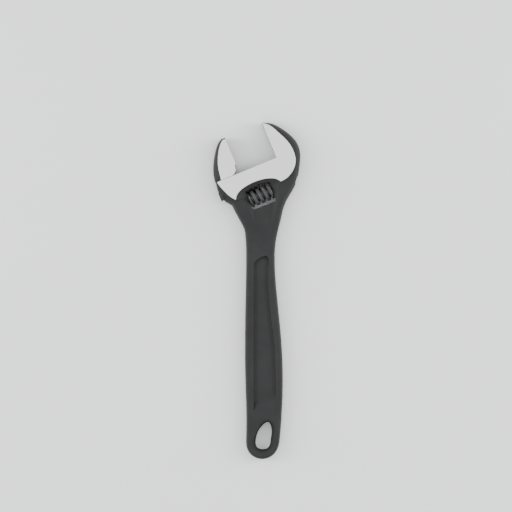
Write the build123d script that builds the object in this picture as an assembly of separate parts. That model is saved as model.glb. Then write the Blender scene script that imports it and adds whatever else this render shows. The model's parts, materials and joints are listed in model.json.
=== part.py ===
from build123d import *
import math
import os

# Adjustable wrench. Millimetres.
# Drawing frame: +Y runs along the handle from its end to the head, +Z is the thickness,
# with the middle plane of the forging at z = 0 until the pieces are placed.
# Jaw frame: origin at the throat corner of the fixed jaw, u (local X) square to the jaw
# faces and pointing into the fixed jaw, v (local Y) along the jaw face towards its tip.

# ---- overall sizes ----
LENGTH = 254.0  # handle end to the tip of the fixed jaw
HEAD_THICKNESS = 15.0
HANDLE_THICKNESS = 8.6
JAW_ANGLE = 22.5  # slope of the throat across the handle's axis
THROAT_X = 10.8  # throat corner, sideways from the handle's middle line
THROAT_DROP = 26.4  # throat corner below the tip of the fixed jaw
REST_OPENING = 30.0

# ---- forged edges ----
RIM_HEIGHT = 4.8  # height of the rim's shoulder above the middle plane
RIM_SHARE = 0.38  # how far in the shoulder lies, as a share of the rim's width
RIM_WIDTH = 4.2  # width of the rim round the handle and neck, at head thickness
NECK_HEIGHT = 6.6  # half thickness of the neck where it meets the head
NECK_START = 57.0  # below the throat corner, where the neck starts to thicken
NECK_END = 26.0  # below the throat corner, where it reaches NECK_HEIGHT
RECESS_RISE = 0.1  # floor of the thumb recess above the handle's surface

# ---- handle ----
WEB_THICKNESS = 5.0  # between the floors of the two side panels
PANEL_CORNER = 2.4
PANEL_FLOOR_ROUNDING = 1.7
RAMP_LENGTH = 5.0  # along which the panel floor rises to the handle's surface
RAMP_OVERRUN = 3.0  # how far the panel's cutter runs on past the top of the ramp
HOLE_ROUNDING = 1.3
GRIP_ROUNDING = 1.5

# ---- guide bar of the movable jaw ----
BAR_DIAMETER = 11.0
BAR_DEPTH = 11.3  # bar axis below the throat
BAR_BACK = 20.8  # bar end behind the jaw face
BAR_FRONT = 8.5  # bar end in front of the jaw face
BAR_CHAMFER = 0.6
BAR_BACK_CHAMFER = 2.0
WEB_WIDTH = 6.0
WEB_BACK = 18.0  # web end behind the jaw face
WEB_FRONT = 6.8  # web's other end, behind the jaw face
SLIDE_CLEARANCE = 0.1
WEB_CLEARANCE = 0.2
END_GAP = 0.8  # room past the bar and the web when the jaws are shut

# ---- worm ----
WORM_DIAMETER = 13.2
WORM_LENGTH = 18.7
WORM_LEAD = 4.32
THREAD_DEPTH = 2.4
CREST_WIDTH = 2.2
RIDGE_BASE = 2.8
RIDGE_ROOT_OVERLAP = 0.4  # how far the ridge is sunk into the core
WORM_CHAMFER = 0.9
WORM_PHASE = 0.77  # where a ridge stands over the axis, as a share of the lead
RACK_CLEARANCE = 0.2  # rack tooth tip to worm root, and worm crest to rack root
FLANK_CLEARANCE = 0.15
WORM_END_GAP = 0.25
WORM_DROP = 2.0  # room below the worm, to take it out of mesh
WINDOW_RIGHT = 12.1  # window wall behind the fixed jaw face
WINDOW_CORNER = 1.0

# ---- worm pin and spring ----
PIN_DIAMETER = 3.2
PIN_SEAT = 5.5  # how far the pin runs past the window into the boss
PIN_HEAD_DIAMETER = 5.0
PIN_HEAD_LENGTH = 9.0
PIN_END = 5.4  # outer end of the pin's head past the fixed jaw face
PIN_SLOT_WIDTH = 0.9
PIN_SLOT_DEPTH = 1.2
PIN_FIT = 0.03
PIN_RUNNING_FIT = 0.05
SPRING_WIRE = 0.6
SPRING_DIAMETER = 5.4
SPRING_TURNS = 5
SPRING_POCKET_DEPTH = 6.0
SPRING_POCKET_DIAMETER = 6.2
SPRING_END_GAP = 0.05

# ---- derived ----
throat_y = LENGTH - THROAT_DROP
half_head = HEAD_THICKNESS / 2
half_handle = HANDLE_THICKNESS / 2
recess_floor = half_handle + RECESS_RISE
bar_radius = BAR_DIAMETER / 2
worm_radius = WORM_DIAMETER / 2
root_radius = worm_radius - THREAD_DEPTH
rack_tip = BAR_DEPTH + bar_radius
worm_depth = rack_tip + RACK_CLEARANCE + root_radius
window_length = WORM_LENGTH + 2 * WORM_END_GAP
window_left = -WINDOW_RIGHT - window_length
window_top = -(worm_depth - worm_radius)
window_bottom = -(worm_depth + worm_radius + WORM_DROP)
worm_left = window_left + WORM_END_GAP
jaw_frame = Pos(THROAT_X, throat_y) * Rot(0, 0, JAW_ANGLE)
far = 80.0  # longer than any cut through the head needs to be

# ---- lines that only close an outline inside other metal ----
CORNER_OVERLAP = 1.0  # how far an outline runs past a face that is cut or joined later
HEAD_UNDERSIDE = 15.0  # below the throat, inside the head
HANDLE_CUT_END = -10.0  # beyond the handle's end

# ---- outlines in the jaw frame: EDGE at the middle plane, FACE on the ground head face ----
FIXED_JAW_EDGE = [
    (-1, 28.6), (6.4, 25.6), (13.2, 17.6), (17.7, 9), (18.9, 0), (16.5, -7.6), (12.9, -14.1),
    (8.3, -21),
]
FIXED_JAW_FACE = [
    (-1, 28.4), (4.4, 24.7), (8.5, 17.3), (12.2, 9), (13.8, 0), (12.6, -7.3), (7.3, -14.1), (-3.8, -17.7),
]
UNDERSIDE_EDGE = [(-3, -30), (-39, -27)]  # inside the neck, so that the head slopes down to it
UNDERSIDE_FACE = [(-10, -17.7), (-35, -17.5)]
BOSS_EDGE = [(-49.4, 1), (-51.1, -5.1), (-51.3, -10.5), (-48.8, -15.2), (-44.8, -20.4)]
BOSS_FACE = [(-48.6, 1), (-47.1, -5), (-45.1, -10.2), (-42.7, -14.8), (-40.3, -17.5)]
JAW_BACK_EDGE = [
    (-19.8, -1), (-18.6, 6.8), (-16.6, 12), (-13.4, 18), (-9.9, 23.2), (-6.2, 27.1), (-2.3, 29.2),
]
JAW_BACK_FACE = [
    (-14.9, -1), (-13.9, 6.1), (-12.7, 11.3), (-10.6, 16.6), (-7.9, 21.6), (-5.2, 25.2), (-2.3, 27.7),
]
JAW_TIP_EDGE = (1, 28.5)
JAW_TIP_FACE = (1, 27.5)
JAW_HEEL = [(0, 7.1), (-1.7, 5.4), (-2.2, 2.7), (-4, 0.9), (-6.5, -0.5)]

# Thumb recess: FOOT on its floor, FACE where its slope meets the ground head face.
RECESS_TOP_FACE = [
    (-3.8, -17.7), (-7.2, -14), (-13, -11.6), (-21.5, -10.5), (-30, -11.2), (-37.3, -13.9), (-40.3, -17.5),
]
RECESS_TOP_FOOT = [
    (-11.6, -18.3), (-12.4, -16.4), (-15, -15.1), (-21.7, -14.6), (-28.5, -15.1), (-32, -16.7), (-33, -18.6),
]
RECESS_LEFT_FACE = [(-40.3, -17.5), (-37.5, -24.6), (-38.6, -30.9), (-42.3, -42.6)]
RECESS_LEFT_FOOT = [(-33, -18.6), (-31.1, -27.3), (-32, -33.6), (-35.8, -45.4)]
RECESS_RIGHT_FACE = [(-20.1, -51.8), (-15.9, -42.1), (-8.5, -30.5), (-3.8, -17.7)]
RECESS_RIGHT_FOOT = [(-26.7, -49.1), (-20.5, -40.2), (-15.9, -31.6), (-11.6, -18.3)]

# ---- outlines in the drawing frame ----
# Near the head the points are (x, distance below the throat corner).
NECK_LEFT = [(-25.0, 31.5), (-22.5, 36.4), (-17.6, 45.8), (-13.6, 53.6), (-12.5, 60.0), (-12.0, 82.6)]
GRIP_END = [
    (-12.7, 64), (-12.0, 17), (-11.2, 7.8), (-6.3, 1.8), (0.7, 0), (6.6, 1.8),
    (11.8, 7.8), (13.7, 17), (15.8, 62),
    (13.4, 104),
]
NECK_RIGHT = [(9.8, 82.6), (11.0, 60.0), (14.1, 47.1), (17.7, 34.1), (24.5, 21.8), (27.3, 13.4), (28.3, 6.0)]
PANEL_TOP = [(-6.3, 80.3), (-3.6, 76.9), (0.2, 74.7), (4.0, 73.6)]
PANEL_RIGHT_TOP = [(5.5, 77.5), (4.7, 92)]
PANEL_RIGHT = [(6.6, 110), (9.6, 84), (10.5, 60), (10.6, 47)]
PANEL_LEFT_END = 36.6
HANG_HOLE = [
    (0.8, 7.5), (5.6, 10.1), (6.6, 15), (7.3, 21.8), (4.9, 28.1), (-1.4, 23.6), (-4.4, 16.1), (-4.3, 10),
]


def face_of(sides, height):
    """Flat face at a height, with each side a curve through its points."""
    edges = [Line(*side) if len(side) == 2 else Spline(*side) for side in sides]
    return Pos(0, 0, height) * make_face(edges)


def between(first, second, share):
    """Points that lie a share of the way from the first side to the second."""
    pairs = zip(first, second)
    return [(a[0] + share * (b[0] - a[0]), a[1] + share * (b[1] - a[1])) for a, b in pairs]


def below_throat(points):
    return [(x, throat_y - drop) for x, drop in points]


def inset(points, distance):
    """Points moved to the left of their own curve, square to it."""
    curve = Spline(*points)
    moved = []
    for point in points:
        along = curve.tangent_at(Vector(*point))
        moved.append((point[0] - distance * along.Y, point[1] + distance * along.X))
    return moved


def forged_half(edge_sides, face_sides):
    """Upper half of a forging whose rim bulges from its edge in to its flat face."""
    shoulder = [between(a, b, RIM_SHARE) for a, b in zip(edge_sides, face_sides)]
    sections = [
        face_of(edge_sides, 0),
        face_of(shoulder, RIM_HEIGHT),
        face_of(face_sides, half_head),
    ]
    return loft(sections)


def block(u_range, v_range, width):
    """Box in the jaw frame, centred on the middle plane."""
    length = u_range[1] - u_range[0]
    height = v_range[1] - v_range[0]
    corner = Pos(u_range[0] + length / 2, v_range[0] + height / 2)
    return corner * Box(length, height, width)


def rod(u_range, depth, radius):
    """Cylinder along u in the jaw frame, its axis a depth below the throat."""
    length = u_range[1] - u_range[0]
    return Pos(u_range[0] + length / 2, -depth) * Rot(0, 90, 0) * Cylinder(radius, length)


def head_sides(back, under, boss):
    """Closed outline of the head: jaw's back, underside, boss, throat and jaw face."""
    corner = (-CORNER_OVERLAP, CORNER_OVERLAP)
    closing = [[back[-1], under[0]], under, [under[1], boss[-1]]]
    return [back, *closing, boss, [boss[0], corner], [corner, back[0]]]


def head_half():
    edge = head_sides(FIXED_JAW_EDGE, UNDERSIDE_EDGE, BOSS_EDGE)
    face = head_sides(FIXED_JAW_FACE, UNDERSIDE_FACE, BOSS_FACE)
    return jaw_frame * forged_half(edge, face)


def handle_sides(grip):
    """Closed outline of the handle and neck, shut by lines that lie inside the head."""
    inner = [RECESS_TOP_FACE[0][0], RECESS_TOP_FACE[-1][0]]
    spots = [(jaw_frame * Pos(u, -HEAD_UNDERSIDE)).position for u in inner]
    corners = [(spot.X, spot.Y) for spot in spots]
    return [grip, [grip[-1], corners[0]], corners, [corners[1], grip[0]]]


def handle_half():
    grip = below_throat(NECK_LEFT) + GRIP_END + below_throat(NECK_RIGHT)
    forging = forged_half(handle_sides(grip), handle_sides(inset(grip, RIM_WIDTH)))
    low = (throat_y - NECK_START, half_handle)
    high = (throat_y - NECK_END, NECK_HEIGHT)
    rise = Spline(low, high, tangents=[(1, 0), (1, 0)])
    inside = [(throat_y, NECK_HEIGHT), (throat_y, 0), (HANDLE_CUT_END, 0), (HANDLE_CUT_END, half_handle)]
    around = [high, *inside, low]
    side = Plane.YZ * make_face([rise, *Polyline(*around).edges()])
    forging = forging & extrude(side, far, both=True)
    rim = forging.faces().filter_by(GeomType.BSPLINE).sort_by(SortBy.AREA)[-1]
    upper = [edge for edge in rim.edges() if edge.bounding_box().min.Z > half_handle - 0.01]
    return fillet(upper, GRIP_ROUNDING)


def recess_cut():
    """Thumb recess round the window: a flat floor with slopes that open upwards."""
    face_rise = half_head - recess_floor
    rise = face_rise + 1
    foot_end = [RECESS_LEFT_FOOT[-1], RECESS_RIGHT_FOOT[0]]
    face_end = [RECESS_LEFT_FACE[-1], RECESS_RIGHT_FACE[0]]
    foot_sides = [RECESS_TOP_FOOT, RECESS_LEFT_FOOT, foot_end, RECESS_RIGHT_FOOT]
    face_sides = [RECESS_TOP_FACE, RECESS_LEFT_FACE, face_end, RECESS_RIGHT_FACE]
    top_sides = [between(a, b, rise / face_rise) for a, b in zip(foot_sides, face_sides)]
    return jaw_frame * loft([face_of(foot_sides, recess_floor), face_of(top_sides, recess_floor + rise)])


def panel_cut():
    """Side panel of the handle, with a rounded foot and a floor that runs out at its end."""
    top = below_throat(PANEL_TOP)
    right = below_throat(PANEL_RIGHT_TOP) + PANEL_RIGHT
    end_left = (top[0][0], PANEL_LEFT_END)
    beyond = [(x, y - RAMP_OVERRUN) for x, y in (right[-1], end_left)]
    sides = [top, [top[-1], right[0]], right, [right[-1], beyond[0]], beyond, [beyond[1], top[0]]]
    outline = face_of(sides, 0)
    upper = [corner for corner in outline.vertices() if corner.Y > PANEL_RIGHT[0][1]]
    outline = fillet(upper, PANEL_CORNER)
    floor = WEB_THICKNESS / 2
    depth = half_handle - floor
    pocket = Pos(0, 0, floor) * extrude(outline, depth + 1)
    pocket = fillet(pocket.faces().sort_by(Axis.Z)[0].edges(), PANEL_FLOOR_ROUNDING)
    slope = depth / RAMP_LENGTH
    ramp = [(-far, 0), (RAMP_LENGTH, 0), (RAMP_LENGTH, floor), (-far, half_handle + slope * far)]
    wedge = extrude(Plane.YZ * make_face(Polyline(*ramp, close=True)), far, both=True)
    end_run = (right[-1][0] - end_left[0], right[-1][1] - end_left[1])
    end_slant = math.degrees(math.atan2(end_run[1], end_run[0]))
    wedge = Pos(*end_left) * Rot(0, 0, end_slant) * wedge
    return pocket - wedge


def hang_hole_cut():
    return extrude(make_face(Spline(*HANG_HOLE, periodic=True)), half_head, both=True)


def hole_rim(half):
    """Edge of the hang hole on the handle's face."""
    high = max(y for x, y in HANG_HOLE) + 1
    near = half.edges().filter_by_position(Axis.Y, 0, high)
    level = near.filter_by_position(Axis.Z, half_handle - 0.01, half_handle + 0.01)
    return level.sort_by(Edge.length)[:1]


def worm_seat_cut():
    """Window for the worm, with the holes for its pin."""
    size = (window_length, window_top - window_bottom)
    middle = ((window_left - WINDOW_RIGHT) / 2, (window_top + window_bottom) / 2)
    opening = Pos(*middle) * RectangleRounded(*size, WINDOW_CORNER)
    window = extrude(opening, half_head + 1, both=True)
    shank = rod((window_left - PIN_SEAT, far), worm_depth, PIN_DIAMETER / 2 + PIN_FIT)
    head = rod((PIN_END - PIN_HEAD_LENGTH, far), worm_depth, PIN_HEAD_DIAMETER / 2 + PIN_FIT)
    return window + shank + head


def slide_cut():
    """Round bore for the guide bar, and the slot that its web slides in."""
    bore = rod((-far, BAR_FRONT + END_GAP), BAR_DEPTH, bar_radius + SLIDE_CLEARANCE)
    slot = block((-far, END_GAP - WEB_FRONT), (-BAR_DEPTH, 1), WEB_WIDTH + 2 * WEB_CLEARANCE)
    return bore + slot


def body():
    half = head_half() + handle_half()
    half -= recess_cut()
    half -= panel_cut()
    half -= hang_hole_cut()
    half = fillet(hole_rim(half), HOLE_ROUNDING)
    gap = block((-far, 0), (0, far), 2 * HEAD_THICKNESS)
    whole = half + mirror(half, about=Plane.XY)
    return whole - jaw_frame * (gap + worm_seat_cut() + slide_cut())


def jaw_sides(back, tip):
    """Closed outline of the movable jaw: its back, its tip, and past its face and foot."""
    corner = (CORNER_OVERLAP, -CORNER_OVERLAP)
    return [back, [back[-1], tip], [tip, corner], [corner, back[0]]]


def movable_jaw():
    """Jaw, web, guide bar and rack, with the jaw face at u = 0."""
    edge = jaw_sides(JAW_BACK_EDGE, JAW_TIP_EDGE)
    face = jaw_sides(JAW_BACK_FACE, JAW_TIP_FACE)
    half = forged_half(edge, face)
    jaw = half + mirror(half, about=Plane.XY)
    beyond = [JAW_HEEL[-1], (far, -far), (far, far), (0, far), JAW_HEEL[0]]
    front = [JAW_HEEL] + [list(side) for side in zip(beyond, beyond[1:])]
    jaw -= extrude(face_of(front, 0), HEAD_THICKNESS, both=True)
    jaw -= block((-far, far), (-far, SLIDE_CLEARANCE), 2 * HEAD_THICKNESS)
    web = block((-WEB_BACK, -WEB_FRONT), (-BAR_DEPTH, 1), WEB_WIDTH)
    return jaw + web + (guide_bar() - rack_cut())


def guide_bar():
    bar = rod((-BAR_BACK, BAR_FRONT), BAR_DEPTH, bar_radius)
    back, front = bar.faces().filter_by(GeomType.PLANE).sort_by(Axis.X)
    bar = chamfer(front.edges(), BAR_CHAMFER)
    return chamfer(bar.faces().sort_by(Axis.X)[0].edges(), BAR_BACK_CHAMFER)


def ridge_half_width(radius):
    """Half the width of the worm's ridge at a radius from its axis."""
    share = (radius - root_radius) / THREAD_DEPTH
    return (RIDGE_BASE + share * (CREST_WIDTH - RIDGE_BASE)) / 2


def rack_cut():
    """Slanted grooves that the worm's ridge runs in, one for each turn of the worm."""
    bottom = root_radius - 1
    top = worm_radius + RACK_CLEARANCE
    wide = ridge_half_width(bottom) + FLANK_CLEARANCE
    narrow = ridge_half_width(top) + FLANK_CLEARANCE
    section = Polyline((-wide, bottom), (-narrow, top), (narrow, top), (wide, bottom), close=True)
    groove = extrude(make_face(section), BAR_DIAMETER, both=True)
    slant = math.degrees(math.atan(WORM_LEAD / (math.pi * (root_radius + worm_radius))))
    meshing = worm_left + WORM_PHASE * WORM_LEAD + REST_OPENING
    first = math.ceil((-BAR_BACK - wide - meshing) / WORM_LEAD)
    last = math.floor((BAR_FRONT + wide - meshing) / WORM_LEAD)
    places = [meshing + turn * WORM_LEAD for turn in range(first, last + 1)]
    return Compound([Pos(u, -worm_depth) * Rot(0, slant, 0) * groove for u in places])


def worm():
    """Adjusting screw along its own Z, with its left end at the origin."""
    foot = root_radius - RIDGE_ROOT_OVERLAP
    wide = ridge_half_width(foot)
    narrow = CREST_WIDTH / 2
    ridge = Polyline((foot, -wide), (worm_radius, -narrow), (worm_radius, narrow), (foot, wide), close=True)
    start = (WORM_PHASE - 1) * WORM_LEAD
    turns = math.ceil(WORM_LENGTH / WORM_LEAD) + 2
    path = Pos(0, 0, start) * Helix(WORM_LEAD, turns * WORM_LEAD, worm_radius)
    section = Pos(0, 0, start) * (Plane.XZ * make_face(ridge))
    thread = sweep(section, path=path, is_frenet=True)
    middle = Pos(0, 0, WORM_LENGTH / 2)
    blank = middle * Cylinder(worm_radius + 0.01, WORM_LENGTH)
    blank = chamfer(blank.edges().filter_by(GeomType.CIRCLE), WORM_CHAMFER)
    core = middle * Cylinder(root_radius, WORM_LENGTH)
    screw = core + (thread & blank)
    screw -= middle * Cylinder(PIN_DIAMETER / 2 + PIN_RUNNING_FIT, WORM_LENGTH)
    pocket = Cylinder(SPRING_POCKET_DIAMETER / 2, SPRING_POCKET_DEPTH)
    return screw - Pos(0, 0, SPRING_POCKET_DEPTH / 2) * pocket


def worm_pin():
    """Pin with a slotted head, along u at the worm's depth below the throat."""
    shank = rod((window_left - PIN_SEAT, PIN_END - 1), worm_depth, PIN_DIAMETER / 2)
    head = rod((PIN_END - PIN_HEAD_LENGTH, PIN_END), worm_depth, PIN_HEAD_DIAMETER / 2)
    slot = block((PIN_END - PIN_SLOT_DEPTH, PIN_END + 1), (-far, far), PIN_SLOT_WIDTH)
    return shank + head - slot


def worm_spring():
    """Coil spring round the pin, from the window wall into the worm's pocket."""
    room = WORM_END_GAP + SPRING_POCKET_DEPTH - 2 * SPRING_END_GAP - SPRING_WIRE
    coil_radius = (SPRING_DIAMETER - SPRING_WIRE) / 2
    path = Helix(room / SPRING_TURNS, room, coil_radius)
    wire = Pos(coil_radius, 0, 0) * (Plane.XZ * Circle(SPRING_WIRE / 2))
    coil = sweep(wire, path=path, is_frenet=True)
    return Pos(0, 0, SPRING_END_GAP + SPRING_WIRE / 2 - WORM_END_GAP) * coil


def pieces():
    """Every piece by name, in the drawing frame, with the jaws at the rest opening."""
    axis = Plane(origin=(worm_left, -worm_depth, 0), x_dir=(0, 1, 0), z_dir=(1, 0, 0))
    worm_frame = jaw_frame * axis.location
    return {
        "body": body(),
        "movable_jaw": jaw_frame * Pos(-REST_OPENING) * movable_jaw(),
        "worm": worm_frame * worm(),
        "worm_pin": jaw_frame * worm_pin(),
        "worm_spring": worm_frame * worm_spring(),
    }


def standing_place(shapes):
    """Move that puts the middle of the underside of all the pieces at the origin."""
    box = Compound(list(shapes)).bounding_box()
    return Pos(-box.center().X, -box.center().Y, -box.min.Z)


def main():
    os.makedirs("parts", exist_ok=True)
    shapes = pieces()
    place = standing_place(shapes.values())
    for name, shape in shapes.items():
        export_step(place * shape, f"parts/{name}.step")
        print(name, shape.is_valid, round(shape.volume, 1), len(shape.solids()))
    print("throat corner", (place * jaw_frame).position)


if __name__ == "__main__":
    main()
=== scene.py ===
# %% [markdown]
# An adjustable wrench, ten inches long, lying on its side. It is a black forging with a
# ground head, a jaw that slides across the head on a round bar, and a knurled screw that moves
# the jaw through a rack on that bar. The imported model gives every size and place, and this
# lesson gives it its finish: black oxide, ground steel, a sharp little knurl and a wire spring.

# %% Load the frame and look at what is in it
import json
import math

import bmesh
import bpy
from mathutils import Matrix, Vector


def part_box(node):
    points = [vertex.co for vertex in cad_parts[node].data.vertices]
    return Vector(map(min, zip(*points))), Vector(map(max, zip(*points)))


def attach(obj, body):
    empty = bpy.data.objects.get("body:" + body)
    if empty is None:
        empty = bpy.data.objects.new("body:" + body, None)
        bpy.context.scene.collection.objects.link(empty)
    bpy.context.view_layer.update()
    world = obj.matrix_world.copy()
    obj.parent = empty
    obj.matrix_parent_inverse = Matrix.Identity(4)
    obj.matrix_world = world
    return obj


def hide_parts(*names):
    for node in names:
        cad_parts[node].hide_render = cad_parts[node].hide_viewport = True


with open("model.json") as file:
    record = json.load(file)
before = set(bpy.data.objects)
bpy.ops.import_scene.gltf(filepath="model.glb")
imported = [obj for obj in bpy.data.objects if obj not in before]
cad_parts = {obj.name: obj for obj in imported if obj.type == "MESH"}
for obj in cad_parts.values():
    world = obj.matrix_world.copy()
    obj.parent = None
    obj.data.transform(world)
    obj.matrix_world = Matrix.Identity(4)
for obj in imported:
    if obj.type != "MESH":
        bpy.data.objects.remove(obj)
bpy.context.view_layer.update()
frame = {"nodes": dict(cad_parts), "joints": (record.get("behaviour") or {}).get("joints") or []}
for name in sorted(frame["nodes"]):
    low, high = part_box(name)
    print(name, "size in mm", [round(1000 * side, 1) for side in high - low])

# %% [markdown]
# Nothing here is measured twice. The screw's joint says where its axis is and which way it
# points, so the other two directions of the head follow: across the jaws is the screw's axis,
# up the thickness is Z, and along the jaws is square to both.

# %% Places and directions from the joints
joints = {joint["name"]: joint for joint in frame["joints"]}
across_jaws = Vector(joints["worm_turn"]["axis"]).normalized()
thickness_up = Vector((0.0, 0.0, 1.0))
along_jaws = thickness_up.cross(across_jaws)
screw_middle = Vector(joints["worm_turn"]["pos_m"])
head_turn = math.atan2(across_jaws.y, across_jaws.x)
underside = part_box("body")[0].z
upper_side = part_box("body")[1].z
print("head turned", round(math.degrees(head_turn), 2), "degrees, thickness", round(1000 * upper_side, 1), "mm")


# %% [markdown]
# The screw and its spring are small, but they are what the eye goes to in the head. The packed
# ones are plain: a smooth ridge and a bare coil. They stay for the collisions, and finer
# pieces stand for them. They stay, hidden, and finer pieces stand for them. The screw's frame
# has its Z along the axis, from the end with the spring, and its X towards the rack.

# %% The screw's own frame, and its sizes read from the imported screw
def measured_along_axis(name):
    """Start, end and outer radius of a node about the screw's axis."""
    places = [vertex.co - screw_middle for vertex in frame["nodes"][name].data.vertices]
    heights = [place.dot(across_jaws) for place in places]
    radii = [(place - place.dot(across_jaws) * across_jaws).length for place in places]
    return min(heights), max(heights), max(radii)


screw_start, screw_end, screw_radius = measured_along_axis("worm")
screw_length = screw_end - screw_start
screw_origin = screw_middle + screw_start * across_jaws
screw_axes = Matrix((along_jaws, thickness_up, across_jaws)).transposed()
screw_place = Matrix.Translation(screw_origin) @ screw_axes.to_4x4()
print("screw", round(1000 * screw_length, 2), "mm long, radius", round(1000 * screw_radius, 2), "mm")


# %% [markdown]
# A screw thread is one profile carried round and along at once. So the profile of a single
# turn is drawn as a row of points, from the middle of one groove to the middle of the next,
# and the spin operator turns it round the axis while it pushes it along by one lead a turn.
# Neighbouring turns share their end points, so merging doubles joins them. A known fault: the
# first turn starts inside the screw, so its lower edge rises to 1.2 mm from the spring's end
# and leaves a narrow wedge open there. Starting one turn earlier would cover it.

# %% The screw's profile
LEAD = 0.00432
THREAD_DEPTH = 0.0024
CREST_WIDTH = 0.0022
FOOT_WIDTH = 0.0028
GROOVE_ROUNDING = 0.0002
CREST_ROUNDING = 0.00018
RIDGE_PLACE = 0.77  # where a ridge stands on the side of the rack, as a share of the lead
END_CHAMFER = 0.0009
MERGE_DISTANCE = 0.00001
STEPS_A_TURN = 176
CREST_STEPS = 9
core_radius = screw_radius - THREAD_DEPTH


def turn_profile():
    """Radius and height of the points of one turn, with the ridge in its middle."""
    half_foot = FOOT_WIDTH / 2
    half_crest = CREST_WIDTH / 2
    rising = [
        (core_radius, -LEAD / 2),
        (core_radius, -half_foot - GROOVE_ROUNDING),
        (core_radius + GROOVE_ROUNDING, -half_foot),
        (screw_radius - CREST_ROUNDING, -half_crest - CREST_ROUNDING / 4),
        (screw_radius - CREST_ROUNDING / 4, -half_crest + CREST_ROUNDING / 4),
    ]
    width = CREST_WIDTH - 2 * CREST_ROUNDING
    steps = [CREST_ROUNDING - half_crest + width * step / CREST_STEPS for step in range(CREST_STEPS + 1)]
    crest = [(screw_radius, height) for height in steps]
    falling = [(radius, -height) for radius, height in reversed(rising)]
    return rising + crest + falling


print("points in the profile of one turn:", len(turn_profile()))


# %% [markdown]
# The crest is knurled so that a thumb can turn it: two families of fine grooves cross it at a
# slant and leave rows of little diamonds. A bump texture would vanish at the outline, so the
# crest's points really are pressed in. Each point's depth comes from how close it lies to a
# groove of either family.

# %% Spin the thread and press the knurl into it
KNURL_COUNT = 44
KNURL_DEPTH = 0.00022
KNURL_SLANT = 0.85  # how far a groove runs round while it crosses the crest, against its width
turns = math.ceil(screw_length / LEAD) + 2


def spun_thread(bm):
    start = (RIDGE_PLACE - 1) * LEAD
    points = [bm.verts.new((radius, 0, start + height)) for radius, height in turn_profile()]
    edges = [bm.edges.new(pair) for pair in zip(points, points[1:])]
    bmesh.ops.spin(
        bm, geom=points + edges, cent=(0, 0, 0), axis=(0, 0, 1), dvec=(0, 0, LEAD / STEPS_A_TURN),
        angle=math.tau * turns, steps=STEPS_A_TURN * turns, use_merge=False, use_duplicate=False,
    )
    bmesh.ops.remove_doubles(bm, verts=bm.verts, dist=MERGE_DISTANCE)


def groove_nearness(position):
    """One on the line of a groove and nought between two grooves."""
    return abs(math.cos(math.pi * position)) ** 5


def press_knurl(bm):
    for point in bm.verts:
        radius = point.co.xy.length
        if radius < screw_radius - CREST_ROUNDING / 2:
            continue
        round_share = math.atan2(point.co.y, point.co.x) / math.tau
        height = point.co.z - (RIDGE_PLACE - 1) * LEAD - round_share * LEAD
        across = height / (math.tau * screw_radius) * KNURL_SLANT
        one = groove_nearness(KNURL_COUNT * (round_share + across))
        other = groove_nearness(KNURL_COUNT * (round_share - across))
        point.co.xy *= 1 - KNURL_DEPTH * max(one, other) / radius


def chamfer_ends(bm):
    for point in bm.verts:
        from_end = min(point.co.z, screw_length - point.co.z)
        limit = screw_radius - max(0.0, END_CHAMFER - from_end)
        if point.co.xy.length > limit:
            point.co.xy *= limit / point.co.xy.length


# %% [markdown]
# The spun thread is bisected at both ends, which leaves a ragged ring of edges at each. A
# circle with the radius of the hole is laid in the end, and bridging the ring to the circle
# makes the flat end face. At the spring's end the hole is a pocket: a wide bore down to a
# shoulder, then the narrow bore of the pin. A known fault: some faces of both ends cross the
# hole, and the walls of the bore face away from the axis, probably because bridging pairs the
# two rings the wrong way round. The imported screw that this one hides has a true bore.

# %% Close the ends and sink the pocket for the spring
BORE_RADIUS = 0.00165
POCKET_RADIUS = 0.0031
POCKET_DEPTH = 0.006
HOLE_STEPS = 64


def cut_end(bm, height, outwards):
    everything = bm.verts[:] + bm.edges[:] + bm.faces[:]
    cut = bmesh.ops.bisect_plane(
        bm, geom=everything, dist=1e-7, plane_co=(0, 0, height), plane_no=(0, 0, outwards), clear_outer=True,
    )
    return [item for item in cut["geom_cut"] if isinstance(item, bmesh.types.BMEdge)]


def hole_ring(bm, radius, height):
    ring = bmesh.ops.create_circle(
        bm, cap_ends=False, radius=radius, segments=HOLE_STEPS, matrix=Matrix.Translation((0, 0, height)),
    )
    return list({edge for point in ring["verts"] for edge in point.link_edges})


def bridge(bm, one, other):
    bmesh.ops.bridge_loops(bm, edges=one + other)


def bored_screw():
    bm = bmesh.new()
    spun_thread(bm)
    press_knurl(bm)
    spring_end = cut_end(bm, 0.0, -1)
    far_end = cut_end(bm, screw_length, 1)
    chamfer_ends(bm)
    pocket_mouth = hole_ring(bm, POCKET_RADIUS, 0.0)
    pocket_floor = hole_ring(bm, POCKET_RADIUS, POCKET_DEPTH)
    bore_start = hole_ring(bm, BORE_RADIUS, POCKET_DEPTH)
    bore_end = hole_ring(bm, BORE_RADIUS, screw_length)
    bridge(bm, spring_end, pocket_mouth)
    bridge(bm, pocket_mouth, pocket_floor)
    bridge(bm, pocket_floor, bore_start)
    bridge(bm, bore_start, bore_end)
    bridge(bm, bore_end, far_end)
    return bm


# %% [markdown]
# Every finished piece is put in place through its mesh, so its object stays at the origin like
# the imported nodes. The same function smooths the shading, keeps real edges sharp, recalculates
# the normals and counts the faces and the open edges. The spring and the pin have none open.

# %% Turn a bmesh into a finished piece
SHARP_ANGLE = math.radians(28)


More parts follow.
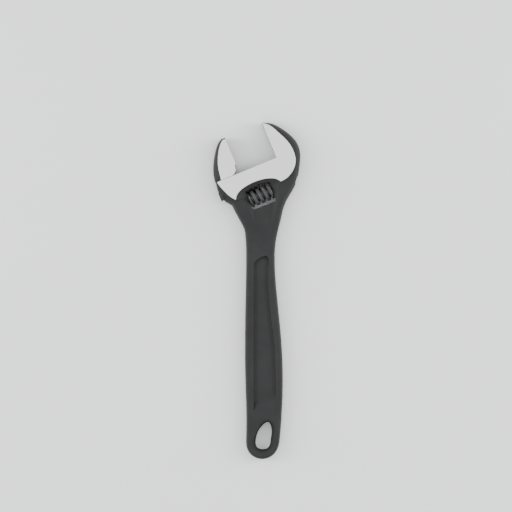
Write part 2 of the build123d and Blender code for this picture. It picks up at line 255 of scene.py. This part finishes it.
def finished_piece(name, bm, place, body):
    bmesh.ops.remove_doubles(bm, verts=bm.verts, dist=1e-7)
    bmesh.ops.recalc_face_normals(bm, faces=bm.faces)
    bmesh.ops.transform(bm, matrix=place, verts=bm.verts)
    for face in bm.faces:
        face.smooth = True
    for edge in bm.edges:
        edge.smooth = edge.calc_face_angle(0.0) < SHARP_ANGLE
    open_edges = sum(1 for edge in bm.edges if not edge.is_manifold)
    mesh = bpy.data.meshes.new(name)
    bm.to_mesh(mesh)
    bm.free()
    piece = bpy.data.objects.new(name, mesh)
    bpy.context.scene.collection.objects.link(piece)
    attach(piece, body)
    print(name, "faces", len(mesh.polygons), "open edges", open_edges)
    return piece


screw = finished_piece("knurled_worm", bored_screw(), screw_place, "adjuster")
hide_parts("worm")

# %% [markdown]
# The spring is a drawn wire wound round the pin. It presses the screw against the far wall of
# its window, which takes up the play. Real ones have their end turns wound flat so that they
# sit square, so the coil's pitch starts at one wire's thickness, opens in the middle and
# closes again.

# %% Wind the spring
WIRE_RADIUS = 0.0003
COIL_RADIUS = 0.0024
OPEN_TURNS = 4
WIRE_SIDES = 14
STEPS_A_COIL = 40
spring_start, spring_end, _ = measured_along_axis("worm_spring")
spring_room = spring_end - spring_start - 2 * WIRE_RADIUS


def wind(bm, ring, rise, wound_turns):
    """Carries a ring of wire round the axis and returns the ring it ends on."""
    steps = int(STEPS_A_COIL * wound_turns)
    made = bmesh.ops.spin(
        bm, geom=ring, cent=(0, 0, 0), axis=(0, 0, 1), dvec=(0, 0, rise / steps),
        angle=math.tau * wound_turns, steps=steps, use_merge=False, use_duplicate=False,
    )
    return made["geom_last"]


def wound_spring():
    bm = bmesh.new()
    lying = Matrix.Translation((COIL_RADIUS, 0, WIRE_RADIUS)) @ Matrix.Rotation(math.pi / 2, 4, "X")
    ring = bmesh.ops.create_circle(bm, cap_ends=False, radius=WIRE_RADIUS, segments=WIRE_SIDES, matrix=lying)
    start = ring["verts"] + list({edge for point in ring["verts"] for edge in point.link_edges})
    flat_rise = 2 * WIRE_RADIUS
    opened = wind(bm, start, flat_rise, 1)
    closing = wind(bm, opened, spring_room - 2 * flat_rise, OPEN_TURNS)
    wind(bm, closing, flat_rise, 1)
    bmesh.ops.holes_fill(bm, edges=[edge for edge in bm.edges if edge.is_boundary], sides=WIRE_SIDES)
    return bm


spring_place = Matrix.Translation(screw_middle + spring_start * across_jaws) @ screw_axes.to_4x4()
spring = finished_piece("wound_spring", wound_spring(), spring_place, "forging")
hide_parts("worm_spring")

# %% [markdown]
# The pin that carries the screw has a slotted head, sunk in a hole in the side of the wrench.
# It is turned from bar, so one outline spun round the axis makes it, with the little chamfers
# that a lathe leaves. The slot is a saw cut: the head's end is cut by two planes and the strip
# between them is pushed in.

# %% Turn the pin
pin_start, pin_end, pin_head_radius = measured_along_axis("worm_pin")
SHANK_RADIUS = 0.0016
HEAD_LENGTH = 0.009
TURNED_CHAMFER = 0.0003
SLOT_WIDTH = 0.0009
SLOT_DEPTH = 0.0012
PIN_STEPS = 72
pin_length = pin_end - pin_start


def pin_outline():
    shoulder = pin_length - HEAD_LENGTH
    return [
        (0.0, 0.0),
        (SHANK_RADIUS - TURNED_CHAMFER, 0.0),
        (SHANK_RADIUS, TURNED_CHAMFER),
        (SHANK_RADIUS, shoulder),
        (pin_head_radius - TURNED_CHAMFER, shoulder),
        (pin_head_radius, shoulder + TURNED_CHAMFER),
        (pin_head_radius, pin_length - SLOT_DEPTH),
        (pin_head_radius, pin_length - TURNED_CHAMFER),
        (pin_head_radius - TURNED_CHAMFER, pin_length),
        (0.0, pin_length),
    ]


def turned_pin():
    bm = bmesh.new()
    points = [bm.verts.new((radius, 0, height)) for radius, height in pin_outline()]
    edges = [bm.edges.new(pair) for pair in zip(points, points[1:])]
    bmesh.ops.spin(
        bm, geom=points + edges, cent=(0, 0, 0), axis=(0, 0, 1), dvec=(0, 0, 0),
        angle=math.tau, steps=PIN_STEPS, use_merge=True, use_duplicate=False,
    )
    bmesh.ops.remove_doubles(bm, verts=bm.verts, dist=1e-6)
    saw_slot(bm)
    return bm


def saw_slot(bm):
    """Pushes a strip of the head's end in by the depth of the slot."""
    for side in (-1, 1):
        bmesh.ops.bisect_plane(
            bm, geom=bm.verts[:] + bm.edges[:] + bm.faces[:], dist=1e-7,
            plane_co=(0, side * SLOT_WIDTH / 2, 0), plane_no=(0, side, 0),
        )
    head_end = pin_length - SLOT_DEPTH
    strip = [
        face for face in bm.faces
        if face.calc_center_median().z > head_end + 1e-6 and abs(face.calc_center_median().y) < SLOT_WIDTH / 2
    ]
    bmesh.ops.delete(bm, geom=strip, context="FACES")
    walls = [
        edge for edge in bm.edges
        if edge.is_boundary and all(abs(abs(point.co.y) - SLOT_WIDTH / 2) < 1e-7 for point in edge.verts)
    ]
    dropped = bmesh.ops.extrude_edge_only(bm, edges=walls)
    for item in dropped["geom"]:
        if isinstance(item, bmesh.types.BMVert):
            item.co.z = head_end
    bmesh.ops.remove_doubles(bm, verts=bm.verts, dist=1e-6)
    rim = [edge for edge in bm.edges if edge.is_boundary]
    bmesh.ops.holes_fill(bm, edges=rim, sides=0)


pin_place = Matrix.Translation(screw_middle + pin_start * across_jaws) @ screw_axes.to_4x4()
pin = finished_piece("slotted_pin", turned_pin(), pin_place, "forging")
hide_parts("worm_pin")

# %% [markdown]
# Now the finishes. Three effects are used by more than one of them, so each is a node group:
# a mottle that varies a colour, a skin of fine and coarse bumps, and edge wear with a mask of
# hollows for painted shade. They read Object coordinates, in metres, so their patterns keep
# their real size on every piece.


# %% Helpers that build and place a node group
def new_group(name, inputs, outputs):
    tree = bpy.data.node_groups.new(name, "ShaderNodeTree")
    for label, kind, value in inputs:
        socket = tree.interface.new_socket(label, in_out="INPUT", socket_type=kind)
        socket.default_value = value
    for label, kind in outputs:
        tree.interface.new_socket(label, in_out="OUTPUT", socket_type=kind)
    return tree, tree.nodes.new("NodeGroupInput"), tree.nodes.new("NodeGroupOutput")


def placed(tree, group, **values):
    """One use of a node group in a tree. A value that is a socket is linked, another is set."""
    node = tree.nodes.new("ShaderNodeGroup")
    node.node_tree = group
    for label, value in values.items():
        connect(tree, value, node.inputs[label.replace("_", " ").capitalize()])
    return node


def connect(tree, value, socket):
    if isinstance(value, bpy.types.NodeSocket):
        tree.links.new(value, socket)
    else:
        socket.default_value = value


def maths(tree, operation, *values, clamp=False):
    node = tree.nodes.new("ShaderNodeMath")
    node.operation = operation
    node.use_clamp = clamp
    for value, socket in zip(values, node.inputs):
        connect(tree, value, socket)
    return node.outputs["Value"]


def vector_maths(tree, operation, *values):
    node = tree.nodes.new("ShaderNodeVectorMath")
    node.operation = operation
    for value, socket in zip(values, node.inputs):
        connect(tree, value, socket)
    return node.outputs["Value" if operation in ("DOT_PRODUCT", "LENGTH") else "Vector"]


def ranged(tree, value, low, high, new_low=0.0, new_high=1.0):
    """Smoothly carries a value from one range to another."""
    node = tree.nodes.new("ShaderNodeMapRange")
    node.interpolation_type = "SMOOTHSTEP"
    for socket, given in zip(node.inputs, (value, low, high, new_low, new_high)):
        connect(tree, given, socket)
    return node.outputs["Result"]


def noise(tree, vector, scale, detail=4.0, roughness=0.55):
    node = tree.nodes.new("ShaderNodeTexNoise")
    connect(tree, vector, node.inputs["Vector"])
    connect(tree, scale, node.inputs["Scale"])
    node.inputs["Detail"].default_value = detail
    node.inputs["Roughness"].default_value = roughness
    return node.outputs["Fac"]


def mixed(tree, share, one, other):
    """A colour between two colours."""
    node = tree.nodes.new("ShaderNodeMix")
    node.data_type = "RGBA"
    connect(tree, share, node.inputs["Factor"])
    connect(tree, one, node.inputs[6])
    connect(tree, other, node.inputs[7])
    return node.outputs[2]


def lerp(tree, share, one, other):
    """A number between two numbers."""
    node = tree.nodes.new("ShaderNodeMix")
    connect(tree, share, node.inputs["Factor"])
    connect(tree, one, node.inputs[2])
    connect(tree, other, node.inputs[3])
    return node.outputs[0]


# %% [markdown]
# Mottle is two noises on top of each other: broad clouds, from the salts of the blackening
# bath, and a fine speckle. Its mask swings evenly round a half.

# %% The mottle group
def mottle_group():
    inputs = [
        ("Vector", "NodeSocketVector", (0, 0, 0)),
        ("Cloud scale", "NodeSocketFloat", 60.0),
        ("Speckle scale", "NodeSocketFloat", 2500.0),
        ("Speckle share", "NodeSocketFloat", 0.4),
    ]
    tree, given, result = new_group("mottle", inputs, [("Mask", "NodeSocketFloat")])
    clouds = noise(tree, given.outputs["Vector"], given.outputs["Cloud scale"])
    speckle = noise(tree, given.outputs["Vector"], given.outputs["Speckle scale"], detail=2.0)
    both = lerp(tree, given.outputs["Speckle share"], clouds, speckle)
    tree.links.new(ranged(tree, both, 0.3, 0.7), result.inputs["Mask"])
    return tree


mottle = mottle_group()
print("group", mottle.name, "with inputs", [item.name for item in mottle.interface.items_tree])

# %% [markdown]
# A forging comes out of its die with scale on it, and shot blasting leaves a dull, softly
# pitted skin. The heights of two noises make it: grains a third of a millimetre across and
# slow waves of a few millimetres.

# %% The blasted skin group
def skin_group():
    inputs = [
        ("Vector", "NodeSocketVector", (0, 0, 0)),
        ("Grain scale", "NodeSocketFloat", 2800.0),
        ("Wave scale", "NodeSocketFloat", 240.0),
        ("Wave share", "NodeSocketFloat", 0.5),
    ]
    tree, given, result = new_group("blasted skin", inputs, [("Height", "NodeSocketFloat")])
    grain = noise(tree, given.outputs["Vector"], given.outputs["Grain scale"], detail=3.0)
    waves = noise(tree, given.outputs["Vector"], given.outputs["Wave scale"], detail=2.0)
    tree.links.new(lerp(tree, given.outputs["Wave share"], grain, waves), result.inputs["Height"])
    return tree


skin = skin_group()

# %% [markdown]
# Handling rubs the black off the edges first. The Bevel node gives the normal as if every edge
# were rounded. Where that differs from the true normal, an edge is near, and a noise breaks the
# rubbed line up. The same normal softens the look of the edges themselves. Ambient occlusion
# tells an outer edge, which wears, from an inner corner, which keeps its black. The same
# occlusion gives the Hollow mask, which the finishes use to paint shade into corners and grooves.

# %% The edge wear and painted shade group
def edge_wear_and_shade_group():
    inputs = [
        ("Vector", "NodeSocketVector", (0, 0, 0)),
        ("Radius", "NodeSocketFloat", 0.0004),
        ("Breakup scale", "NodeSocketFloat", 500.0),
        ("Amount", "NodeSocketFloat", 0.6),
        ("Hollow reach", "NodeSocketFloat", 0.003),
    ]
    outputs = [("Mask", "NodeSocketFloat"), ("Hollow", "NodeSocketFloat"), ("Normal", "NodeSocketVector")]
    tree, given, result = new_group("edge wear and painted shade", inputs, outputs)
    rounded = tree.nodes.new("ShaderNodeBevel")
    rounded.samples = 6
    tree.links.new(given.outputs["Radius"], rounded.inputs["Radius"])
    true_normal = tree.nodes.new("ShaderNodeNewGeometry").outputs["Normal"]
    likeness = vector_maths(tree, "DOT_PRODUCT", rounded.outputs["Normal"], true_normal)
    edge = ranged(tree, likeness, 0.985, 0.86)
    shelter = tree.nodes.new("ShaderNodeAmbientOcclusion")
    shelter.samples = 6
    tree.links.new(given.outputs["Hollow reach"], shelter.inputs["Distance"])
    openness = shelter.outputs["AO"]
    outer = maths(tree, "MULTIPLY", edge, ranged(tree, openness, 0.6, 0.9))
    breakup = ranged(tree, noise(tree, given.outputs["Vector"], given.outputs["Breakup scale"]), 0.35, 0.65)
    worn = maths(tree, "MULTIPLY", outer, maths(tree, "MULTIPLY", breakup, given.outputs["Amount"]), clamp=True)
    tree.links.new(worn, result.inputs["Mask"])
    # Hollow is a painted shade mask: near one where ambient occlusion finds a corner or groove.
    tree.links.new(ranged(tree, openness, 0.97, 0.55), result.inputs["Hollow"])
    tree.links.new(rounded.outputs["Normal"], result.inputs["Normal"])
    return tree


edge_wear_and_shade = edge_wear_and_shade_group()


# %% [markdown]
# A material keeps its own Principled shader, and the groups feed it. The starter below makes
# the tree, the shader and the Object coordinates, and the other helper lays the bumps over the
# softened normal.

# %% Helpers that start and close a material
def new_material(name):
    material = bpy.data.materials.new(name)
    material.use_nodes = True
    tree = material.node_tree
    place = tree.nodes.new("ShaderNodeTexCoord").outputs["Object"]
    return material, tree, tree.nodes["Principled BSDF"], place


def bump(tree, height, distance, normal, strength=1.0):
    node = tree.nodes.new("ShaderNodeBump")
    node.inputs["Distance"].default_value = distance
    connect(tree, strength, node.inputs["Strength"])
    connect(tree, height, node.inputs["Height"])
    connect(tree, normal, node.inputs["Normal"])
    return node.outputs["Normal"]


def turned_and_stretched(tree, place, turn, scale):
    """Object coordinates turned in the plane of the wrench and stretched, for a lay of lines."""
    turning = tree.nodes.new("ShaderNodeMapping")
    turning.inputs["Rotation"].default_value = (0.0, 0.0, turn)
    tree.links.new(place, turning.inputs["Vector"])
    stretching = tree.nodes.new("ShaderNodeMapping")
    stretching.inputs["Scale"].default_value = scale
    tree.links.new(turning.outputs["Vector"], stretching.inputs["Vector"])
    return stretching.outputs["Vector"]


def put_on(material, *pieces):
    for piece in pieces:
        piece.data.materials.clear()
        piece.data.materials.append(material)
    print(material.name, "on", [piece.name for piece in pieces])


# %% [markdown]
# The forging and the jaw share one finish with two faces to it. The whole piece is blackened,
# then the two flat faces of the head are ground bright. Those faces are the only surfaces that
# lie right at the top and the bottom of the wrench, so the height alone tells them apart. A
# fine dark line of painted shade runs just under the ground face, along its edge. A darker
# ring of painted shade lies round the hanging hole, and its mask is the distance from the
# hole's egg-shaped outline: from a line along its middle, less a radius that shrinks along it.

# %% The ground faces, and the painted shade at their edge and round the hole
LEVEL = 0.00004
EDGE_SHADE_WIDTH = 0.0003
HOLE_LOW_END = Vector((0.0044, -0.1142, 0.0))
HOLE_HIGH_END = Vector((0.0078, -0.1032, 0.0))
HOLE_LOW_RADIUS = 0.0052
HOLE_HIGH_RADIUS = 0.0034
HOLE_SHADE_WIDTH = 0.004
HOLE_SHADE_STRENGTH = 0.8


def ground_mask(tree, height):
    """One on the two ground faces and nought elsewhere."""
    upper = maths(tree, "COMPARE", height, upper_side, LEVEL)
    lower = maths(tree, "COMPARE", height, underside, LEVEL)
    return maths(tree, "MAXIMUM", upper, lower)


def oxide_line_mask(tree, height):
    """Painted shade: one next to a ground face, fading out a little way down the rim."""
    middle = (upper_side + underside) / 2
    from_middle = maths(tree, "ABSOLUTE", maths(tree, "SUBTRACT", height, middle))
    half = (upper_side - underside) / 2
    return ranged(tree, from_middle, half - EDGE_SHADE_WIDTH, half)


def hole_shade_mask(tree, place):
    """Painted shade, strongest at the rim of the hanging hole, which is widest at its low end, and nought away
    from it.
    """
    from_low = vector_maths(tree, "SUBTRACT", place, HOLE_LOW_END)
    along = vector_maths(tree, "DOT_PRODUCT", from_low, HOLE_HIGH_END - HOLE_LOW_END)
    share = maths(tree, "DIVIDE", along, (HOLE_HIGH_END - HOLE_LOW_END).length_squared, clamp=True)
    spine = vector_maths(tree, "MULTIPLY", share, HOLE_HIGH_END - HOLE_LOW_END)
    flat = vector_maths(tree, "MULTIPLY", vector_maths(tree, "SUBTRACT", from_low, spine), (1.0, 1.0, 0.0))
    rim = lerp(tree, share, HOLE_LOW_RADIUS, HOLE_HIGH_RADIUS)
    beyond = maths(tree, "SUBTRACT", vector_maths(tree, "LENGTH", flat), rim)
    return maths(tree, "MULTIPLY", ranged(tree, beyond, HOLE_SHADE_WIDTH, 0.0), HOLE_SHADE_STRENGTH)


def ground_colour(tree, lines, clouds):
    bright = (0.66, 0.66, 0.65, 1.0)
    dull = (0.54, 0.54, 0.53, 1.0)
    share = maths(tree, "MULTIPLY", lines, 0.5)
    tint = mixed(tree, share, bright, dull)
    return mixed(tree, maths(tree, "MULTIPLY", clouds, 0.35), tint, (0.6, 0.595, 0.58, 1.0))


# %% The forging's finish
GRINDING_LAY = (90.0, 5200.0, 90.0)


def forging_finish():
    material, tree, shader, place = new_material("black_oxide_and_ground_steel")
    axes = tree.nodes.new("ShaderNodeSeparateXYZ")
    tree.links.new(place, axes.inputs["Vector"])
    height = axes.outputs["Z"]
    ground = ground_mask(tree, height)
    wear_and_shade = placed(
        tree, edge_wear_and_shade, vector=place, radius=0.00045, breakup_scale=420.0, amount=0.55, hollow_reach=0.0035,
    )
    clouds = placed(tree, mottle, vector=place, cloud_scale=55.0, speckle_scale=2600.0, speckle_share=0.35)
    rough_skin = placed(tree, skin, vector=place, grain_scale=2600.0, wave_scale=230.0, wave_share=0.45)
    lay = noise(tree, turned_and_stretched(tree, place, -head_turn, GRINDING_LAY), 1.0, detail=3.0)
    lines = ranged(tree, lay, 0.35, 0.65)

    unground_colour = mixed(tree, clouds.outputs["Mask"], (0.0205, 0.0205, 0.0208, 1.0), (0.029, 0.029, 0.0291, 1.0))
    # Painted shade: the hollows and a ring round the hanging hole are darkened towards black.
    painted_shade = maths(tree, "MAXIMUM", wear_and_shade.outputs["Hollow"], hole_shade_mask(tree, place), clamp=True)
    unground_colour = mixed(tree, maths(tree, "MULTIPLY", painted_shade, 0.9), unground_colour, (0.004, 0.004, 0.004, 1.0))
    unground_colour = mixed(tree, wear_and_shade.outputs["Mask"], unground_colour, (0.13, 0.129, 0.127, 1.0))
    # Painted shade: a fine dark line along the rim just under each ground face.
    line = maths(tree, "MULTIPLY", oxide_line_mask(tree, height), 0.7)
    unground_colour = mixed(tree, line, unground_colour, (0.006, 0.006, 0.006, 1.0))
    steel = ground_colour(tree, lines, clouds.outputs["Mask"])
    tree.links.new(mixed(tree, ground, unground_colour, steel), shader.inputs["Base Color"])

    black_metal = maths(tree, "MULTIPLY", wear_and_shade.outputs["Mask"], 0.8)
    tree.links.new(lerp(tree, ground, black_metal, 1.0), shader.inputs["Metallic"])
    dull_skin = lerp(tree, clouds.outputs["Mask"], 0.46, 0.58)
    tree.links.new(lerp(tree, ground, dull_skin, lerp(tree, lines, 0.3, 0.4)), shader.inputs["Roughness"])
    shader.inputs["Specular IOR Level"].default_value = 0.12
    relief = lerp(tree, ground, rough_skin.outputs["Height"], maths(tree, "MULTIPLY", lay, 0.12))
    tree.links.new(bump(tree, relief, 0.00006, wear_and_shade.outputs["Normal"]), shader.inputs["Normal"])
    return material


put_on(forging_finish(), frame["nodes"]["body"], frame["nodes"]["movable_jaw"])

# %% [markdown]
# The screw is turned and knurled before it is blackened, so it is smoother than the forging
# and a little glossier. Thumbs polish the tips of its diamonds, and the cutting tool leaves
# faint rings on its flanks.

# %% The screw's finish
def screw_finish():
    material, tree, shader, place = new_material("blackened_knurl")
    wear_and_shade = placed(
        tree, edge_wear_and_shade, vector=place, radius=0.0002, breakup_scale=380.0, amount=0.7, hollow_reach=0.0025,
    )
    clouds = placed(tree, mottle, vector=place, cloud_scale=180.0, speckle_scale=3200.0, speckle_share=0.4)
    fine = placed(tree, skin, vector=place, grain_scale=5200.0, wave_scale=700.0, wave_share=0.3)
    black = mixed(tree, clouds.outputs["Mask"], (0.04, 0.04, 0.041, 1.0), (0.055, 0.055, 0.056, 1.0))
    # Painted shade: the knurl's grooves and other hollows are darkened towards black.
    painted_groove_shade = maths(tree, "MULTIPLY", wear_and_shade.outputs["Hollow"], 0.55)
    black = mixed(tree, painted_groove_shade, black, (0.014, 0.014, 0.014, 1.0))
    polished = mixed(tree, wear_and_shade.outputs["Mask"], black, (0.38, 0.38, 0.375, 1.0))
    tree.links.new(polished, shader.inputs["Base Color"])
    tree.links.new(lerp(tree, wear_and_shade.outputs["Mask"], 0.35, 0.95), shader.inputs["Metallic"])
    tree.links.new(lerp(tree, clouds.outputs["Mask"], 0.3, 0.42), shader.inputs["Roughness"])
    tree.links.new(bump(tree, fine.outputs["Height"], 0.00002, wear_and_shade.outputs["Normal"]), shader.inputs["Normal"])
    return material


put_on(screw_finish(), screw)

# %% [markdown]
# Pin and spring are bare steel. The pin shows the rings that the lathe left round it, which
# are a noise stretched round its axis. The drawn wire is darker, from the heat of its temper,
# with streaks along its length.

# %% The bright steel finishes
def turned_steel_finish():
    material, tree, shader, place = new_material("turned_steel")
    wear_and_shade = placed(tree, edge_wear_and_shade, vector=place, radius=0.00015, breakup_scale=900.0, amount=0.5)
    rings = noise(tree, turned_and_stretched(tree, place, -head_turn, (4000.0, 30.0, 30.0)), 1.0, detail=2.0)
    shade = ranged(tree, rings, 0.35, 0.65)
    steel = mixed(tree, shade, (0.42, 0.42, 0.41, 1.0), (0.33, 0.33, 0.325, 1.0))
    # Painted shade: hollows such as the slot are darkened towards a dark brown-grey.
    steel = mixed(tree, wear_and_shade.outputs["Hollow"], steel, (0.08, 0.075, 0.07, 1.0))
    tree.links.new(steel, shader.inputs["Base Color"])
    shader.inputs["Metallic"].default_value = 1.0
    tree.links.new(lerp(tree, shade, 0.28, 0.4), shader.inputs["Roughness"])
    tree.links.new(bump(tree, rings, 0.00001, wear_and_shade.outputs["Normal"]), shader.inputs["Normal"])
    return material


def spring_wire_finish():
    material, tree, shader, place = new_material("tempered_wire")
    clouds = placed(tree, mottle, vector=place, cloud_scale=420.0, speckle_scale=4200.0, speckle_share=0.5)
    fine = placed(tree, skin, vector=place, grain_scale=6500.0, wave_scale=900.0, wave_share=0.2)
    straw = mixed(tree, clouds.outputs["Mask"], (0.2, 0.195, 0.19, 1.0), (0.3, 0.285, 0.265, 1.0))
    tree.links.new(straw, shader.inputs["Base Color"])
    shader.inputs["Metallic"].default_value = 1.0
    tree.links.new(lerp(tree, clouds.outputs["Mask"], 0.26, 0.42), shader.inputs["Roughness"])
    flat = tree.nodes.new("ShaderNodeNewGeometry").outputs["Normal"]
    tree.links.new(bump(tree, fine.outputs["Height"], 0.00001, flat), shader.inputs["Normal"])
    return material


put_on(turned_steel_finish(), pin)
put_on(spring_wire_finish(), spring)

# %% [markdown]
# The wrench lies on a pale, matt table that runs on past the view. It is a stage and not a
# part of the wrench.

# %% The floor
FLOOR_SIZE = 6.0


def floor_finish():
    material, tree, shader, place = new_material("pale_table")
    clouds = placed(tree, mottle, vector=place, cloud_scale=3.0, speckle_scale=900.0, speckle_share=0.3)
    pale = mixed(tree, clouds.outputs["Mask"], (0.92, 0.92, 0.92, 1.0), (0.95, 0.95, 0.95, 1.0))
    tree.links.new(pale, shader.inputs["Base Color"])
    shader.inputs["Roughness"].default_value = 0.85
    return material


bm = bmesh.new()
bmesh.ops.create_grid(bm, x_segments=1, y_segments=1, size=FLOOR_SIZE / 2)
bmesh.ops.translate(bm, vec=(0, 0, underside), verts=bm.verts)
floor_mesh = bpy.data.meshes.new("table_top")
bm.to_mesh(floor_mesh)
bm.free()
table_top = bpy.data.objects.new("table_top", floor_mesh)
bpy.context.scene.collection.objects.link(table_top)
put_on(floor_finish(), table_top)

# %% [markdown]
# A camera looks straight down with the handle towards the bottom of the view. A long lens keeps
# the sides of the thick head from showing. Its distance follows from how wide a strip the view
# takes in at the height of the ground face.

# %% The camera
VIEW_WIDTH = 0.3855
LENS = 200.0
VIEW_MIDDLE = Vector((-0.00058, 0.0264, 0.0))

camera_data = bpy.data.cameras.new("overhead")
camera_data.lens = LENS
camera_data.clip_end = 30.0
camera = bpy.data.objects.new("overhead", camera_data)
bpy.context.scene.collection.objects.link(camera)
bpy.context.scene.camera = camera
camera_height = VIEW_WIDTH * LENS / camera_data.sensor_width + upper_side
camera.location = VIEW_MIDDLE + Vector((0, 0, camera_height))
print("camera", round(camera_height, 3), "m above the table")

# %% [markdown]
# Ground steel shows what it mirrors, so a wide softbox hangs a little below the camera, which
# sees through its unlit back, and fills the flat faces with an even light. Two strips at the
# sides light the rims and the knurl, and a pale world lifts the shadows.


# %% The lights
def softbox(name, place, target, size, power):
    data = bpy.data.lights.new(name, "AREA")
    data.shape = "RECTANGLE"
    data.size, data.size_y = size
    data.energy = power
    lamp = bpy.data.objects.new(name, data)
    lamp.location = place
    lamp.rotation_euler = (Vector(target) - Vector(place)).to_track_quat("-Z", "Y").to_euler()
    bpy.context.scene.collection.objects.link(lamp)


softbox("overhead_box", (0.0, 0.1, 1.9), (0.0, 0.05, 0.0), (1.8, 1.8), 15.0)
softbox("left_strip", (-1.1, 0.1, 0.55), (0.0, 0.05, 0.0), (0.4, 1.4), 13.0)
softbox("right_strip", (1.1, 0.2, 0.55), (0.0, 0.05, 0.0), (0.4, 1.4), 13.0)

world = bpy.data.worlds.new("pale_studio")
world.use_nodes = True
world.node_tree.nodes["Background"].inputs["Color"].default_value = (0.92, 0.94, 0.97, 1.0)
world.node_tree.nodes["Background"].inputs["Strength"].default_value = 1.0
bpy.context.scene.world = world
